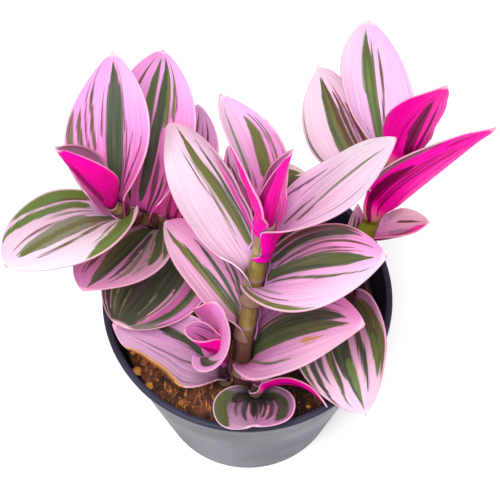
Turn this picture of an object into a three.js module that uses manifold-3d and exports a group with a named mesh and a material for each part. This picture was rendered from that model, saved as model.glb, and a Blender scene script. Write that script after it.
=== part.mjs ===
// A potted tradescantia: a thin plastic nursery pot, the soil that fills it, six leafy shoots and
// their thirty clasping leaves. Millimetres, +Z up, the origin at the centre of the pot's base.
import * as THREE from "three";
import { mergeGeometries, mergeVertices } from "three/addons/utils/BufferGeometryUtils.js";
import Module from "manifold-3d";

const wasm = await Module();
wasm.setup();

// ---------------------------------------------------------------- driving dimensions
const CLEAR = 0.3; // gap between pieces that touch
const LEAST_CUT = 0.004; // mm3 of overlap that is worth a cut

const POT_HEIGHT = 88;
const POT_RIM_RADIUS = 52;
const POT_BASE_RADIUS = 37;
const POT_LIP = 2.5; // width of the flat ring at the top
const POT_BAND = 3.6; // height of the collar under the ring
const POT_WALL = 1.3;
const POT_FLOOR = 2;
const DRAIN_RADIUS = 3.5;
const DRAIN_RING = 25; // distance of the drain holes from the centre
const DRAIN_HOLES = 6;

const SOIL_TOP = 75.5; // mean level of the soil
const SOIL_BUMP = 0.9; // how far the surface rises and falls
const STEM_FOOT = 70; // the stems go down into the soil as far as this

const STEM_STEPS = 10;
const STEM_SIDES = 10;

const BLADE = 0.8; // thickness of a leaf
const BLADE_ROWS = 8;
const SHEATH_ROWS = 1;
const BLADE_COLS = 6;
const RIB_STEPS = 40; // steps along the midrib, a multiple of BLADE_ROWS
const WRAP = 235; // degrees of the stem that a leaf's base goes round
const SHEATH_WRAP = 320; // the same at the foot of its sheath
const LEAD = 0.1; // share of a leaf that still runs up along its stem
const WIDEST = 0.4; // where along its length a leaf is widest
const TIP_POWER = 0.8; // how pointed a leaf is, unless it says so itself
const ROLL_IN = 0.16; // share of its length over which a blade rolls over to its own slant
const CURL_FADE = 2.5; // how fast the curl of the base opens out
const TIP_HALF_WIDTH = 0.4;
const LEAST_CURL_RADIUS = 0.9; // of a rolled leaf
const CURL_OPENS = 7; // how fast the others curl away from their stem, until a quarter of the way

// Each shoot: the radius of its stem and the four points that its curve is drawn from.
const SHOOTS = {
  centre: { radius: 2.9, points: [[-2, -35, 70], [-3, -23, 97], [2, -16, 125], [6, -8, 153]] },
  left: { radius: 2.2, points: [[-18, 21, 70], [-27, 34, 91], [-35, 15, 107], [-45, 14, 127]] },
  right: { radius: 2.5, points: [[30, -13, 70], [35, 4, 90], [46, 28, 99], [50, 30, 129]] },
  side: { radius: 1.6, points: [[-7, -30, 70], [-8, -29, 79], [-9, -27, 87], [-10, -26, 96]] },
  front: { radius: 1.4, points: [[4, -36, 70], [3, -35, 78], [2, -36, 85], [3, -36, 92]] },
  back: { radius: 1.6, points: [[1, 28, 70], [2, 29, 80], [3, 31, 90], [6, 33, 100]] },
};

// Each leaf, counted up its shoot. "at" is the height of its root as a share of the stem's curve.
// Azimuth (0 is +X, 90 is +Y) and rise are the midrib's heading where it leaves the stem; droop and
// sweep are how far it turns down and aside by the tip. Roll and twist turn the blade about its
// midrib. Cup is the angle of the arc that its cross-section makes: under zero it is arched.
// Seat is the azimuth of the side of the stem that it springs from, where it isn't its heading.
// Sheath is the length that wraps the stem below the root. Tip is how pointed the leaf is. Tube is
// the radius of a leaf that is still rolled up. Bite is where a leaf's left margin is gone: the
// middle and half-length as shares of its length, and how deep. Angles in degrees, lengths in mm.
const LEAVES = {
  centre_1: { at: 0.25, azimuth: -12, rise: 69, droop: 29, sweep: -10, roll: 1, twist: -3,
    length: 63, width: 37, cup: 9, sheath: 6, wave: 0.8, tone: "dark" },
  centre_2: { at: 0.46, azimuth: 126, rise: 38, droop: 67, sweep: 4, roll: -18, twist: 3,
    length: 47, width: 22, cup: 103, sheath: 6, wave: 0.3, tone: "mid" },
  centre_3: { at: 0.66, azimuth: -21, rise: 66, droop: 32, sweep: 3, roll: -24, twist: 41,
    length: 59, width: 34, cup: -49, sheath: 6, wave: 0.5, tone: "mid" },
  centre_4: { at: 0.725, azimuth: 120, rise: 22, droop: 37, sweep: -3, roll: -23, twist: -15,
    length: 62, width: 26, cup: 93, sheath: 5, wave: 0.3, tip: 0.74, tone: "pale" },
  centre_5: { at: 0.87, azimuth: 19, rise: 53, droop: 10, sweep: -2, roll: -49, twist: 38,
    length: 57, width: 30, cup: -27, sheath: 2.5, wave: 0.5, tone: "pale" },
  centre_6: { at: 0.985, azimuth: 127, rise: 79, droop: 29, sweep: -4, roll: 33, twist: -6,
    length: 47, width: 28, cup: 129, sheath: 2, wave: 0.2, tone: "pale" },
  centre_7: { at: 1, azimuth: -22, rise: 86, droop: 5, sweep: 1, roll: 6, twist: 5,
    length: 44, width: 15, cup: 231, wrap: 320, inner: true, wave: 0.1, tip: 0.92, tone: "bud" },
  left_1: { at: 0.17, azimuth: -109, rise: 28, droop: 1, sweep: -5, roll: -13, twist: 9,
    length: 57, width: 38, cup: -35, sheath: 1.5, wave: 0.4, tip: 0.6, tone: "dark" },
  left_2: { at: 0.36, azimuth: 75, rise: 27, droop: 41, sweep: 5, roll: 2, twist: 1,
    length: 51, width: 28, cup: 48, sheath: 5, wave: 0.4, tone: "mid" },
  left_3: { at: 0.53, azimuth: -115, rise: 26, droop: -17, sweep: 0, roll: -2, twist: 13,
    length: 55, width: 32, cup: 5, sheath: 5, wave: 0.4, tone: "dark" },
  left_4: { at: 0.68, azimuth: 76, rise: 51, droop: 67, sweep: 11, roll: 9, twist: 10,
    length: 65, width: 33, cup: 46, sheath: 5, wave: 0.4, tone: "mid" },
  left_5: { at: 0.83, azimuth: -138, rise: 56, droop: 41, sweep: 11, roll: 30, twist: -37,
    length: 59, width: 36, cup: -19, sheath: 4, wave: 0.4, tip: 0.66, tone: "pale" },
  left_6: { at: 0.95, azimuth: 88, rise: 63, droop: 52, sweep: 1, roll: -21, twist: 6,
    length: 52, width: 32, cup: 9, sheath: 3, wave: 0.3, tone: "mid" },
  left_7: { at: 1, azimuth: -165, rise: 69, droop: -10, sweep: 1, roll: 20, twist: -1,
    length: 42, width: 27, cup: 250, wrap: 320, inner: true, wave: 0.1, tone: "bud" },
  right_1: { at: 0.17, azimuth: -105, rise: 48, droop: 81, sweep: 44, roll: 19, twist: -4,
    length: 50, width: 37, cup: 56, sheath: 0, wave: 0.6, tone: "dark" },
  right_2: { at: 0.42, azimuth: 82, rise: 61, droop: 11, sweep: 7, roll: 1, twist: 3,
    length: 22, width: 8, cup: 120, sheath: 3, wave: 0.1, tone: "bud" },
  right_3: { at: 0.55, azimuth: -16, rise: 38, droop: -13, sweep: 6, roll: -25, twist: 12,
    length: 26, width: 19, cup: 200, sheath: 2, wave: 0.1, tone: "bud" },
  right_4: { at: 0.63, seat: -40, azimuth: 13, rise: 68, droop: 35, sweep: 5, roll: -91, twist: 9,
    length: 59, width: 27, cup: 71, sheath: 6, wave: 0.4, tone: "under" },
  right_5: { at: 0.77, azimuth: 123, rise: 15, droop: 24, sweep: -24, roll: -36, twist: 0,
    length: 56, width: 29, cup: 92, sheath: 4, wave: 0.3, tone: "pale" },
  right_6: { at: 0.88, azimuth: 105, rise: 46, droop: 47, sweep: -17, roll: 34, twist: -26,
    length: 56, width: 29, cup: 14, sheath: 3, wave: 0.3, tip: 0.66, tone: "pale" },
  right_7: { at: 0.98, seat: -50, azimuth: -29, rise: 90, droop: 19, sweep: 11, roll: -73, twist: 11,
    length: 52, width: 21, cup: 83, sheath: 2, wave: 0.3, tone: "under" },
  side_1: { at: 0.38, azimuth: 168, rise: 35, droop: 2, sweep: -1, roll: 3, twist: -4,
    length: 45, width: 29, cup: -3, sheath: 3, wave: 0.5, bite: [0.62, 0.22, 0.42], tone: "pale" },
  side_2: { at: 0.88, seat: 78, azimuth: 98, rise: 93, droop: 17, sweep: 30, roll: -117, twist: 60,
    length: 33, width: 33, cup: 94, sheath: 4, wave: 0.2, wrap: 320, bite: [0.4, 0.45, 0.26], tone: "mid" },
  side_3: { at: 1, azimuth: -177, rise: 56, droop: -12, sweep: 4, roll: -6, twist: 4,
    length: 22, width: 21.5, cup: 346, wrap: 320, inner: true, wave: 0.1, tube: 3.6, tone: "bud" },
  front_1: { at: 0.42, azimuth: -96, rise: 59, droop: 14, sweep: 4, roll: 3, twist: 6,
    length: 31, width: 28, cup: -71, sheath: 2, wave: 0.3, tip: 0.6, tone: "dark" },
  front_2: { at: 0.71, seat: -40, azimuth: 26, rise: 34, droop: 44, sweep: -85, roll: -65, twist: -9,
    length: 28, width: 10, cup: 60, sheath: 3, wave: 0.2, tone: "under" },
  front_3: { at: 1, azimuth: -163, rise: 61, droop: -3, sweep: 15, roll: 0, twist: 0,
    length: 11, width: 4.5, cup: 200, wrap: 320, inner: true, wave: 0, tone: "bud" },
  back_1: { at: 0.5, azimuth: 116, rise: 55, droop: 16, sweep: 0, roll: 9, twist: 3,
    length: 30, width: 18, cup: 43, sheath: 2, wave: 0.3, tone: "mid" },
  back_2: { at: 0.78, azimuth: 39, rise: 29, droop: 69, sweep: -1, roll: 8, twist: 1,
    length: 24, width: 19, cup: 53, sheath: 2, wave: 0.3, tone: "dark" },
  back_3: { at: 0.95, azimuth: 88, rise: 71, droop: 3, sweep: -4, roll: -12, twist: -7,
    length: 33, width: 20, cup: 59, sheath: 2, wave: 0.3, tone: "pale" },
};

const COLOURS = {
  pot: 0x8d8b90,
  soil: 0x3b261b,
  stem: 0x8a8a3a,
  pale: 0xf0c4e6,
  mid: 0xc58cb4,
  dark: 0x6f7059,
  under: 0xc2007f,
  bud: 0xd81f96,
};

// ---------------------------------------------------------------- helpers
const part = new THREE.Group();
const radians = THREE.MathUtils.degToRad;

function smooth(x) {
  const c = THREE.MathUtils.clamp(x, 0, 1);
  return c * c * (3 - 2 * c);
}

function place(name, geometry, colour, roughness) {
  const material = new THREE.MeshStandardMaterial({ color: colour, roughness, metalness: 0 });
  const mesh = new THREE.Mesh(geometry, material);
  mesh.name = name;
  part.add(mesh);
}

// The geometry with its shared vertices merged, so that it is one closed skin.
function closed(geometry) {
  const bare = geometry.clone();
  bare.deleteAttribute("normal");
  bare.deleteAttribute("uv");
  return mergeVertices(bare, 1e-4);
}

function solid(geometry) {
  const skin = closed(geometry);
  return new wasm.Manifold(
    new wasm.Mesh({
      numProp: 3,
      vertProperties: skin.attributes.position.array,
      triVerts: new Uint32Array(skin.index.array),
    }),
  );
}

function geometryOf(manifold) {
  const mesh = manifold.getMesh();
  const geometry = new THREE.BufferGeometry();
  geometry.setAttribute("position", new THREE.BufferAttribute(mesh.vertProperties, 3));
  geometry.setIndex(new THREE.BufferAttribute(mesh.triVerts, 1));
  return geometry;
}

// Moves every vertex of a geometry to where the function sends it.
function bent(geometry, where) {
  const position = geometry.attributes.position;
  const v = new THREE.Vector3();
  for (let i = 0; i < position.count; i += 1) {
    v.fromBufferAttribute(position, i);
    const moved = where(v);
    position.setXYZ(i, moved.x, moved.y, moved.z);
  }
  return geometry;
}

function turnedOver(geometry) {
  const index = geometry.index.array;
  for (let i = 0; i < index.length; i += 3) {
    const kept = index[i];
    index[i] = index[i + 1];
    index[i + 1] = kept;
  }
  return geometry;
}

// ---------------------------------------------------------------- pot
function potRadius(z) {
  return THREE.MathUtils.lerp(POT_BASE_RADIUS, POT_RIM_RADIUS - 1.1, z / POT_HEIGHT);
}

function potGeometry() {
  const top = POT_HEIGHT;
  const under = top - POT_BAND;
  const inner = POT_RIM_RADIUS - POT_LIP;
  const profile = [
    [0, 0],
    [POT_BASE_RADIUS - 1, 0],
    [POT_BASE_RADIUS, 1],
    [potRadius(under - 1.2), under - 1.2],
    [POT_RIM_RADIUS - 0.5, under],
    [POT_RIM_RADIUS, top - 0.8],
    [POT_RIM_RADIUS - 0.7, top],
    [inner + 0.3, top],
    [inner, top - 0.4],
    [potRadius(under) - POT_WALL, under - 0.8],
    [potRadius(POT_FLOOR) - POT_WALL, POT_FLOOR],
    [0, POT_FLOOR],
  ].map(([r, z]) => new THREE.Vector2(r, z));
  let pot = solid(new THREE.LatheGeometry(profile, 36).rotateX(Math.PI / 2));
  for (let i = 0; i < DRAIN_HOLES; i += 1) {
    const angle = (i / DRAIN_HOLES) * 2 * Math.PI;
    const hole = new THREE.CylinderGeometry(DRAIN_RADIUS, DRAIN_RADIUS, 3 * POT_FLOOR, 12);
    hole.rotateX(Math.PI / 2);
    hole.translate(DRAIN_RING * Math.cos(angle), DRAIN_RING * Math.sin(angle), POT_FLOOR / 2);
    pot = pot.subtract(solid(hole));
  }
  return geometryOf(pot);
}

// ---------------------------------------------------------------- stems
function stemCurve(shoot) {
  return new THREE.CubicBezierCurve3(...shoot.points.map((p) => new THREE.Vector3(...p)));
}

function stemGeometry(shoot) {
  const section = new THREE.Shape().absarc(0, 0, shoot.radius, 0, 2 * Math.PI);
  return new THREE.ExtrudeGeometry(section, {
    steps: STEM_STEPS,
    curveSegments: STEM_SIDES / 2,
    bevelEnabled: false,
    extrudePath: stemCurve(shoot),
  });
}

// ---------------------------------------------------------------- soil
function soilHeight(x, y) {
  return (
    SOIL_TOP +
    SOIL_BUMP * (0.5 * Math.sin(0.31 * x + 1.1) * Math.cos(0.27 * y - 0.4) +
      0.5 * Math.sin(0.63 * x - 0.52 * y + 2.0))
  );
}

function soilGeometry() {
  const base = POT_FLOOR + CLEAR;
  const wall = (z) => potRadius(z) - POT_WALL - CLEAR - 0.15;
  const profile = [
    [0, base],
    [wall(base) - 1, base],
    [wall(base), base + 1],
    [wall(SOIL_TOP - 2), SOIL_TOP - 2],
    [wall(SOIL_TOP) - 0.8, SOIL_TOP],
    [40, SOIL_TOP],
    [32, SOIL_TOP],
    [24, SOIL_TOP],
    [16, SOIL_TOP],
    [8, SOIL_TOP],
    [0, SOIL_TOP],
  ].map(([r, z]) => new THREE.Vector2(r, z));
  const body = bent(new THREE.LatheGeometry(profile, 24).rotateX(Math.PI / 2), (v) =>
    v.z > SOIL_TOP - 0.01 ? v.setZ(soilHeight(v.x, v.y)) : v,
  );
  let soil = solid(body);
  // Chips of bark and small stones, half sunk in the surface.
  for (let i = 0; i < 13; i += 1) {
    const angle = 2.4 * i + 0.5;
    const radius = 14 + 29 * ((i * 0.618) % 1);
    const x = radius * Math.cos(angle);
    const y = radius * Math.sin(angle);
    const chip = new THREE.IcosahedronGeometry(1, 0);
    chip.scale(2.6 - 0.1 * i, 1.2 + 0.05 * i, 0.9);
    chip.rotateZ(1.7 * i);
    chip.translate(x, y, soilHeight(x, y) + 0.2);
    soil = soil.add(solid(chip));
  }
  for (const shoot of Object.values(SHOOTS)) {
    const foot = new THREE.Vector3(...shoot.points[0]);
    const hole = new THREE.CylinderGeometry(shoot.radius + 0.8, shoot.radius + 0.8, 20, 12);
    hole.rotateX(Math.PI / 2);
    const lean = stemCurve(shoot).getTangent(0);
    hole.applyQuaternion(
      new THREE.Quaternion().setFromUnitVectors(new THREE.Vector3(0, 0, 1), lean),
    );
    const middle = foot.addScaledVector(lean, 10 - CLEAR);
    hole.translate(middle.x, middle.y, middle.z);
    soil = soil.subtract(solid(hole));
  }
  return geometryOf(soil);
}

// ---------------------------------------------------------------- leaves
// Half-width of a leaf as a share of its greatest, "base" at the root and none at the tip.
function outline(s, base, tip) {
  if (s < WIDEST) return base + (1 - base) * Math.sin((Math.PI / 2) * (s / WIDEST));
  return Math.cos((Math.PI / 2) * ((s - WIDEST) / (1 - WIDEST))) ** tip;
}

// The midrib with the blade's three directions at each step: along, across to its left and up.
function midrib(curve, leaf, radius) {
  const root = curve.getPoint(leaf.at);
  const up = curve.getTangent(leaf.at);
  const seat = radians(leaf.seat ?? leaf.azimuth);
  const inward = new THREE.Vector3(-Math.cos(seat), -Math.sin(seat), 0);
  const steps = [];
  for (let k = 0; k <= RIB_STEPS; k += 1) {
    const s = k / RIB_STEPS;
    const azimuth = radians(leaf.azimuth + leaf.sweep * s);
    const rise = radians(leaf.rise - leaf.droop * s);
    const roll = radians(leaf.roll + leaf.twist * s) * smooth(s / ROLL_IN);
    const heading = new THREE.Vector3(
      Math.cos(azimuth) * Math.cos(rise),
      Math.sin(azimuth) * Math.cos(rise),
      Math.sin(rise),
    );
    const side = new THREE.Vector3(-Math.sin(azimuth), Math.cos(azimuth), 0);
    const face = new THREE.Vector3().crossVectors(heading, side);
    face.multiplyScalar(Math.cos(roll)).addScaledVector(side, -Math.sin(roll));
    const along = up.clone().lerp(heading, smooth(s / LEAD)).normalize();
    const normal = inward.clone().lerp(face, smooth(s / LEAD)).normalize();
    normal.addScaledVector(along, -normal.dot(along)).normalize();
    const across = new THREE.Vector3().crossVectors(normal, along);
    const point = new THREE.Vector3();
    if (k === 0) {
      point.copy(root).addScaledVector(normal, -radius);
    } else {
      const before = steps[k - 1];
      const mean = along.clone().add(before.along).multiplyScalar(0.5);
      point.copy(before.point).addScaledVector(mean, leaf.length / RIB_STEPS);
    }
    steps.push({ point, along, normal, across });
  }
  return steps;
}

function leafGeometry(shoot, leaf, phase, thickness = BLADE) {
  const radius = leaf.inner
    ? Math.min(shoot.radius - 0.6, 2)
    : shoot.radius + CLEAR + 0.1 + BLADE / 2;
  const wrap = radians(leaf.wrap ?? WRAP);
  const cup = radians(leaf.cup);
  const steps = midrib(stemCurve(shoot), leaf, radius);
  const sheath = leaf.sheath ?? 0;
  const below = sheath > 0 ? SHEATH_ROWS : 0;
  const rows = BLADE_ROWS + below;
  const base = Math.min((radius * wrap) / leaf.width, 0.9);

  function leastCurl(s) {
    if (!leaf.inner) return radius * (1 + CURL_OPENS * Math.min(s, 0.25));
    const tube = leaf.tube ?? LEAST_CURL_RADIUS;
    return THREE.MathUtils.lerp(LEAST_CURL_RADIUS, tube, Math.min(s / WIDEST, 1));
  }

  // A point of the blade: column 0 at the left margin to BLADE_COLS at the right, row up from the
  // sheath's foot, side 1 on the upper face and -1 on the lower.
  function surface(column, row, side) {
    const t = 1 - (2 * column) / BLADE_COLS;
    const s = Math.max(row - below, 0) / BLADE_ROWS;
    const { point, along, normal, across } = steps[Math.round(s * RIB_STEPS)];
    const half = Math.max((leaf.width / 2) * outline(s, base, leaf.tip ?? TIP_POWER), TIP_HALF_WIDTH);
    let arc = cup + (wrap - cup) * (1 - s) ** CURL_FADE;
    arc = Math.min(arc, (2 * half) / leastCurl(s));
    let bend = Math.abs(arc) < 0.001 ? half / 0.0005 : half / (arc / 2);
    let back = 0;
    if (row < below) {
      const share = 1 - row / below;
      arc = THREE.MathUtils.lerp(wrap, radians(SHEATH_WRAP), share);
      bend = radius;
      back = sheath * share;
    }
    if (leaf.bite && t > 0) {
      const [middle, reach, depth] = leaf.bite;
      arc *= 1 - depth * Math.exp(-(((s - middle) / reach) ** 4));
    }
    const angle = (Math.abs(arc) < 0.001 ? 0.001 : arc) * t * 0.5;
    const ripple =
      leaf.wave * Math.abs(t) ** 3 * smooth((s - 0.15) / 0.2) * (1 - s) *
      Math.sin(4.4 * Math.PI * s + phase + (t > 0 ? 1.3 : 0));
    const out = (side * thickness) / 2 + ripple;
    return point
      .clone()
      .addScaledVector(along, -back)
      .addScaledVector(across, bend * Math.sin(angle) - out * Math.sin(angle))
      .addScaledVector(normal, bend * (1 - Math.cos(angle)) + out * Math.cos(angle));
  }

  function face(side) {
    return bent(new THREE.PlaneGeometry(BLADE_COLS, rows, BLADE_COLS, rows), (v) =>
      surface(Math.round(v.x + BLADE_COLS / 2), Math.round(v.y + rows / 2), side),
    );
  }

  // The narrow edge: one strip that goes up the right margin, round the tip and down the left.
  function rim() {
    const round = 2 * (rows + BLADE_COLS);
    return bent(new THREE.PlaneGeometry(round, 2, round, 1), (v) => {
      const walked = Math.round(v.x + round / 2);
      const side = Math.sign(v.y);
      if (walked <= rows) return surface(BLADE_COLS, walked, side);
      if (walked <= rows + BLADE_COLS) return surface(BLADE_COLS + rows - walked, rows, side);
      if (walked <= 2 * rows + BLADE_COLS) {
        return surface(0, 2 * rows + BLADE_COLS - walked, side);
      }
      return surface(walked - 2 * rows - BLADE_COLS, 0, side);
    });
  }

  return closed(mergeGeometries([face(1), turnedOver(face(-1)), rim()]));
}

// A leaf with a gap cut in it wherever its own stem or a leaf above it would cross it. The crumbs
// that a cut leaves are dropped.
function clearedLeaf(leaf, neighbours) {
  return neighbours.reduce((kept, { bare, grown }) => {
    if (kept.intersect(bare).volume() < LEAST_CUT) return kept;
    const pieces = kept.subtract(grown).decompose();
    return pieces.reduce((a, b) => (b.volume() > a.volume() ? b : a));
  }, leaf);
}

// ---------------------------------------------------------------- assembly
place("pot", potGeometry(), COLOURS.pot, 0.55);
place("soil", soilGeometry(), COLOURS.soil, 0.95);
for (const [name, shoot] of Object.entries(SHOOTS)) {
  place(`stem_${name}`, closed(stemGeometry(shoot)), COLOURS.stem, 0.5);
}
const names = Object.keys(LEAVES);
const blades = names.map((name, i) => {
  const shoot = SHOOTS[name.split("_")[0]];
  return {
    bare: solid(leafGeometry(shoot, LEAVES[name], 1.9 * i)),
    grown: solid(leafGeometry(shoot, LEAVES[name], 1.9 * i, BLADE + 2 * CLEAR)),
  };
});
names.forEach((name, i) => {
  const shoot = SHOOTS[name.split("_")[0]];
  const stem = {
    bare: solid(stemGeometry(shoot)),
    grown: solid(stemGeometry({ ...shoot, radius: shoot.radius + CLEAR })),
  };
  const body = clearedLeaf(blades[i].bare, [stem, ...blades.slice(i + 1, i + 3)]);
  place(`leaf_${name}`, geometryOf(body), COLOURS[LEAVES[name].tone], 0.45);
});

export default part;
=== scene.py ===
import math
import random

import bmesh
import bpy
import numpy as np
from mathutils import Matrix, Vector, noise


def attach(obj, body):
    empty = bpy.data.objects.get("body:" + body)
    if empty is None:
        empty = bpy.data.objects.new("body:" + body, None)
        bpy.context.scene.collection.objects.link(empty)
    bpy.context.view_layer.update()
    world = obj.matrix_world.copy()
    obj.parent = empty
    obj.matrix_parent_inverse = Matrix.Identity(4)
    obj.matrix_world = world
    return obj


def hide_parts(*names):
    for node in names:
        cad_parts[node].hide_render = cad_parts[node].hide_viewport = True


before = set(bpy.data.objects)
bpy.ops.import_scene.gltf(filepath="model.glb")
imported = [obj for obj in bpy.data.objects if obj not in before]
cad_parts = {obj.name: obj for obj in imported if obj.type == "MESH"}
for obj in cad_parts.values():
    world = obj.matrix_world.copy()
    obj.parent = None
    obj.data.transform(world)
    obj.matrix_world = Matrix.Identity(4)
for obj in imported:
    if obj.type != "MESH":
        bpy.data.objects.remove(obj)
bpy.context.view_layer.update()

# ---------------------------------------------------------------- pot
# The pot: a nursery pot 104 mm across the rim and 88 mm high, of thin black plastic, moulded in
# one piece with a rolled lip, a collar under it and six drain holes punched through its floor.
MM = 0.001
RIM = 52
LIP = 2.5
BASE = 37
HEIGHT = 88
BAND = 3.6
WALL = 1.3
FLOOR = 2
HOLES = 6
HOLE = 3.5
HOLE_RING = 25
TURNS = 144
TAPER = 1.1


def pot_radius(z):
    """The outside of the tapered wall at height z, all in mm."""
    return BASE + (RIM - TAPER - BASE) * z / HEIGHT


def linear(r, g, b):
    """A colour given as it looks on screen, 0 to 255, as the renderer wants it."""
    return tuple((c / 255 / 12.92) if c <= 10 else ((c / 255 + 0.055) / 1.055) ** 2.4
                 for c in (r, g, b)) + (1,)


class Graph:
    """A material's node tree, with one short call for each node."""

    def __init__(self, name, roughness=0.5, bump=0.1):
        self.material = bpy.data.materials.new(name)
        self.material.use_nodes = True
        self.tree = self.material.node_tree
        self.shader = self.tree.nodes["Principled BSDF"]
        self.shader.inputs["Roughness"].default_value = roughness
        self.bump = self.node("ShaderNodeBump", Strength=bump, Distance=0.001)
        self.tree.links.new(self.bump.outputs[0], self.shader.inputs["Normal"])

    def node(self, kind, **values):
        made = self.tree.nodes.new(kind)
        for key, value in values.items():
            self.put(made.inputs[key.replace("_", " ")], value)
        return made

    def put(self, socket, value):
        if isinstance(value, bpy.types.NodeSocket):
            self.tree.links.new(value, socket)
        else:
            socket.default_value = value

    def noise(self, where, scale, detail=3.0, rough=0.55):
        return self.node("ShaderNodeTexNoise", Vector=where, Scale=scale, Detail=detail,
                         Roughness=rough).outputs["Fac"]

    def stretched(self, where, x, y, z=1.0):
        made = self.node("ShaderNodeVectorMath", Vector=where)
        made.operation = "MULTIPLY"
        made.inputs[1].default_value = (x, y, z)
        return made.outputs[0]

    def maths(self, operation, a, b=0.0):
        made = self.tree.nodes.new("ShaderNodeMath")
        made.operation = operation
        self.put(made.inputs[0], a)
        self.put(made.inputs[1], b)
        return made.outputs[0]

    def ranged(self, value, low, high, to_low=0.0, to_high=1.0):
        made = self.tree.nodes.new("ShaderNodeMapRange")
        made.interpolation_type = "SMOOTHSTEP"
        for socket, given in zip(made.inputs, (value, low, high, to_low, to_high)):
            self.put(socket, given)
        return made.outputs[0]

    def mixed(self, share, a, b, blend="MIX"):
        made = self.tree.nodes.new("ShaderNodeMix")
        made.data_type = "RGBA"
        made.blend_type = blend
        self.put(made.inputs[0], share)
        self.put(made.inputs[6], a)
        self.put(made.inputs[7], b)
        return made.outputs[2]

    def places(self):
        return self.tree.nodes.new("ShaderNodeTexCoord").outputs["Object"]

    def attribute(self, name, output="Color"):
        made = self.tree.nodes.new("ShaderNodeAttribute")
        made.attribute_name = name
        return made.outputs[output]

    def finish(self, colour, height=None, roughness=None):
        self.put(self.shader.inputs["Base Color"], colour)
        if height is not None:
            self.put(self.bump.inputs["Height"], height)
        if roughness is not None:
            self.put(self.shader.inputs["Roughness"], roughness)
        return self.material


def piece_from(bm, name, *materials):
    """The finished mesh as a smooth object at the origin."""
    mesh = bpy.data.meshes.new(name)
    bm.to_mesh(mesh)
    bm.free()
    for material in materials:
        mesh.materials.append(material)
    made = bpy.data.objects.new(name, mesh)
    bpy.context.scene.collection.objects.link(made)
    for face in mesh.polygons:
        face.use_smooth = True
    return made


def plastic(name, light, dark, roughness):
    g = Graph(name, roughness, 0.12)
    g.put(g.shader.inputs["Specular IOR Level"], 0.12)
    where = g.places()
    cloud = g.noise(where, 28.0)
    scuffs = g.noise(g.stretched(where, 60, 60, 900), 1.0, 4.0)
    colour = g.mixed(g.ranged(cloud, 0.3, 0.7), light, dark)
    colour = g.mixed(g.ranged(scuffs, 0.55, 0.8, 0.0, 0.12), colour, linear(150, 148, 156))
    grain = g.noise(where, 2600.0, 2.0)
    return g.finish(colour, grain, g.ranged(cloud, 0.2, 0.8, roughness - 0.06, roughness + 0.08))


pot_outside = plastic("pot_outside", linear(72, 66, 85), linear(60, 55, 71), 0.38)
# The inside is the same plastic as the outside, painted darker as shade.
pot_inside_painted_shade = plastic("pot_inside_painted_shade", linear(34, 33, 50), linear(20, 19, 32), 0.5)
pot_lip = plastic("pot_lip", linear(52, 50, 66), linear(36, 35, 50), 0.34)

under = HEIGHT - BAND
inner = RIM - LIP
profile = [(0, 0), (BASE - 1.2, 0), (BASE - 0.35, 0.25), (BASE, 1), (pot_radius(40), 40),
           (pot_radius(under - 1.2), under - 1.2), (RIM - 0.75, under - 0.35),
           (RIM - 0.45, under + 0.1), (RIM - 0.05, HEIGHT - 1.0), (RIM - 0.2, HEIGHT - 0.35),
           (RIM - 0.7, HEIGHT), (inner + 0.5, HEIGHT), (inner + 0.1, HEIGHT - 0.25),
           (inner, HEIGHT - 0.8), (pot_radius(under) - WALL, under - 1.0),
           (pot_radius(40) - WALL, 40), (pot_radius(FLOOR) - WALL, FLOOR + 0.6),
           (pot_radius(FLOOR) - WALL - 0.8, FLOOR), (0, FLOOR)]
bm = bmesh.new()
line = [bm.verts.new((r * MM, 0, z * MM)) for r, z in profile]
edges = [bm.edges.new(pair) for pair in zip(line, line[1:])]
bmesh.ops.spin(bm, geom=line + edges, cent=(0, 0, 0), axis=(0, 0, 1), angle=2 * math.pi,
               steps=TURNS, use_merge=True)
bmesh.ops.remove_doubles(bm, verts=bm.verts, dist=1e-6)
bmesh.ops.recalc_face_normals(bm, faces=bm.faces)
for face in bm.faces:
    middle = face.calc_center_median()
    radius = math.hypot(middle.x, middle.y) / MM
    height = middle.z / MM
    # Faces inside the wall take the copy of the plastic painted darker as shade.
    if height < HEIGHT - 0.3 and height > 1 and radius < pot_radius(height) - 0.6:
        face.material_index = 1
    elif height > HEIGHT - 1:
        face.material_index = 2
pot = piece_from(bm, "pot_shell", pot_outside, pot_inside_painted_shade, pot_lip)
bm = bmesh.new()
for i in range(HOLES):
    made = bmesh.ops.create_cone(bm, cap_ends=True, segments=24, radius1=HOLE * MM,
                                 radius2=HOLE * MM, depth=3 * FLOOR * MM)
    turn = i * 2 * math.pi / HOLES
    bmesh.ops.translate(bm, verts=made["verts"], vec=(
        HOLE_RING * MM * math.cos(turn), HOLE_RING * MM * math.sin(turn), FLOOR * MM / 2))
punch = piece_from(bm, "punch")
cut = pot.modifiers.new("holes", "BOOLEAN")
cut.object = punch
cut.solver = "EXACT"
bpy.context.view_layer.update()
holed = bpy.data.meshes.new_from_object(pot.evaluated_get(bpy.context.evaluated_depsgraph_get()))
pot.modifiers.clear()
pot.data = holed
bpy.data.objects.remove(punch)
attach(pot, "root")
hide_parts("pot")

# ---------------------------------------------------------------- soil
# The potting mix: one filled body, dark peat with an uneven crumbly top, 12.5 mm under the rim.
# Bark chips, brown fibres and a few yellow stones lie loose in its surface.
SOIL_TOP = 75.5
SOIL_GAP = 0.45
SOIL_STEPS = 60
CHIP_SPREAD = 45.3
FIBRE_SPREAD = 44
FIBRE_REACH = 45.5
CHIPS = 420
FIBRES = 520
STONES = ((-39.5, -25.0, 1.9), (-35.0, -30.5, 1.4), (-41.5, -18.0, 0.9), (21.0, -38.5, 0.8))  # x, y, radius


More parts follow.
